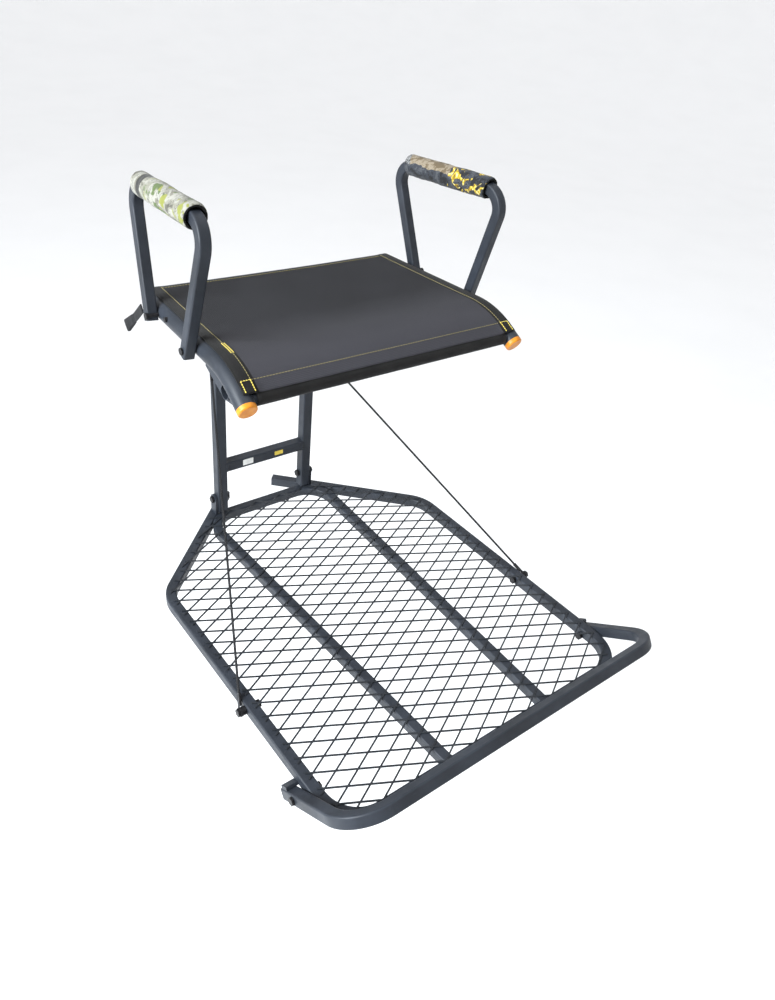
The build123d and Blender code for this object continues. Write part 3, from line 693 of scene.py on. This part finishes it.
def resample(line, spacing):
    """Points along a line at even distances, and the line's length."""
    runs = [(b - a).length for a, b in zip(line, line[1:])]
    total = sum(runs)
    count = max(int(total / spacing), 2)
    points, index, passed = [], 0, 0.0
    for i in range(count + 1):
        distance = total * i / count
        while index < len(runs) - 1 and passed + runs[index] < distance:
            passed += runs[index]
            index += 1
        share = (distance - passed) / max(runs[index], 1e-9)
        points.append(line[index].lerp(line[index + 1], min(max(share, 0), 1)))
    return points, total


def make_cable(name, side, node):
    """Wire rope: six strands laid round a core."""
    upper, lower = (Vector((side * p.x, p.y, p.z)) for p in (UPPER_END, LOWER_END))
    run = (lower - upper).normalized()
    near_end = 0.024 * run
    route = [upper, upper + near_end, lower - near_end, lower]
    line, total = resample(route_line(route), 0.0018)
    first, second = across_axes(run)
    bm = bmesh.new()
    skin(bm, [ring(p, first, second, CORE_RADIUS, 6) for p in line])
    for strand in range(6):
        rings = []
        for i, p in enumerate(line):
            turn = 2 * pi * (total * i / (len(line) - 1) / LAY_LENGTH + strand / 6) * side
            out = cos(turn) * first + sin(turn) * second
            rings.append(ring(p + STRAND_OFFSET * out, first, second, STRAND_RADIUS, 6))
        skin(bm, rings)
    cable = finished(name, bm, [finishes["cable"]])
    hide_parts(node)
    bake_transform(cable)
    return cable


make_cable("cable_strands_right", 1, "support_cable_right")
make_cable("cable_strands_left", -1, "support_cable_left")


# ---------- welds ----------
def weld_bead(bm, path, radius, seed):
    """A rippled bead along a closed path of points."""
    line = resample(path + [path[0]], 0.0011)[0][:-1]
    rings = []
    for i, p in enumerate(line):
        ahead = (line[(i + 1) % len(line)] - line[i - 1]).normalized()
        first, second = across_axes(ahead)
        ripple = 1 + 0.16 * sin(i * 1.9) + 0.25 * noise.noise(Vector((seed, i * 0.21, 0)))
        rings.append(ring(p, first, second, radius * ripple, 7))
    skin(bm, rings + [rings[0]], caps=False)


def square_path(centre, first, second, half, corner=0.003):
    """The eight corners of a square with its own corners cut off."""
    points = []
    for quarter in range(4):
        turn = quarter * pi / 2
        a = cos(turn) * first + sin(turn) * second
        b = -sin(turn) * first + cos(turn) * second
        points.append(centre + a * half - b * (half - corner))
        points.append(centre + a * half + b * (half - corner))
    return points


def make_welds():
    """Beads where the post's crossbars, the platform's inner bars and the seat's crossbar end."""
    x_dir, y_dir, z_dir = Vector((1, 0, 0)), Vector((0, 1, 0)), Vector((0, 0, 1))
    post, platform, seat = bmesh.new(), bmesh.new(), bmesh.new()
    for side in (-1, 1):
        for z in (0.121, 0.440):
            bar_end = square_path(Vector((side * 0.091, 0, z)), y_dir, z_dir, 0.0108)
            weld_bead(post, bar_end, 0.0017, z + side)
        bar_end = square_path(Vector((side * 0.108, -0.747, 0)), x_dir, z_dir, 0.0093)
        weld_bead(platform, bar_end, 0.0017, side)
        joint = Vector((side * (rail_x(0.062) - RAIL_RADIUS), -0.062, RAIL_Z))
        weld_bead(seat, ring(joint, y_dir, z_dir, 0.0110, 40), 0.0018, side)
    for name, bm, body in (
        ("post_welds", post, "post"),
        ("platform_welds", platform, "platform"),
        ("seat_welds", seat, "seat"),
    ):
        beads = finished(name, bm, [weld_coat])
        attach(beads, body)


make_welds()


# ---------- strap tail behind the left armrest ----------
def make_strap():
    """A short length of flat webbing, folded over at its loose end."""
    run = [(-0.059, 0.509), (-0.040, 0.496), (-0.020, 0.480), (0.0, 0.464), (0.014, 0.452)]
    line = resample(route_line([Vector((-0.262, y, z)) for y, z in run]), 0.003)[0]
    rings = []
    for i, p in enumerate(line):
        ahead = (line[min(i + 1, len(line) - 1)] - line[max(i - 1, 0)]).normalized()
        wide = Vector((0, -ahead.z, ahead.y)).normalized()
        share = i / (len(line) - 1)
        half = 0.0075 + 0.0035 * max(share - 0.62, 0) / 0.38
        thick = 0.0012 + 0.0022 * min(max((share - 0.60) / 0.06, 0), 1)
        sway = Vector((0.0035 * sin(3.0 * share), 0, 0))
        outline = []  # a rounded rectangle
        for k in range(16):
            turn = 2 * pi * k / 16
            a = abs(cos(turn)) ** 0.35 * (1 if cos(turn) > 0 else -1)
            b = abs(sin(turn)) ** 0.5 * (1 if sin(turn) > 0 else -1)
            outline.append(p + sway + wide * half * a + Vector((1, 0, 0)) * thick * b)
        rings.append(outline)
    bm = bmesh.new()
    skin(bm, rings)
    strap = finished("strap_tail", bm, [strap_web])
    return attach(strap, "seat")


make_strap()


# ---------- floor, lights and world ----------
def make_floor():
    """A white floor well below the stand, rising far away so that no horizon shows."""
    bm = bmesh.new()
    bmesh.ops.create_grid(bm, x_segments=90, y_segments=90, size=48)
    for corner in bm.verts:
        corner.co.z = 0.03 * max(corner.co.xy.length - 12, 0) ** 2
    mesh = bpy.data.meshes.new("floor")
    bm.to_mesh(mesh)
    bm.free()
    smooth_all(mesh)
    f = Finish("floor_paper", specular=0.1)
    colour = f.tones(f.noise(1.5, 2), 0.93, 0.95)
    paper = f.finish(colour, f.span(f.noise(3), 0, 1, 0.85, 0.95), f.noise(40), 0.0005, 0.1)
    floor = new_object("floor", mesh, [paper])
    floor.location.z = -1.35


def make_light(name, place, target, size, power, colour=(1, 1, 1)):
    """A round area light turned towards a target."""
    data = bpy.data.lights.new(name, "AREA")
    data.shape, data.size, data.energy, data.color = "DISK", size, power, colour
    lamp = bpy.data.objects.new(name, data)
    lamp.location = place
    lamp.rotation_mode = "QUATERNION"
    lamp.rotation_quaternion = (Vector(target) - Vector(place)).to_track_quat("-Z", "Y")
    bpy.context.scene.collection.objects.link(lamp)


make_floor()
make_light("key", (-3.05, -0.4, 1.7), (0, -0.3, 0.2), 2.2, 340, (0.90, 0.96, 1.0))
make_light("top", (0.4, -0.6, 3.4), (0, -0.3, 0.0), 2.6, 12)

world = bpy.data.worlds.new("studio")
world.use_nodes = True
sky = world.node_tree.nodes["Background"]
sky.inputs["Color"].default_value = (0.97, 0.98, 1.0, 1)
sky.inputs["Strength"].default_value = 1.0
bpy.context.scene.world = world
bpy.context.scene.view_settings.view_transform = "Standard"
bpy.context.scene.view_settings.look = "None"
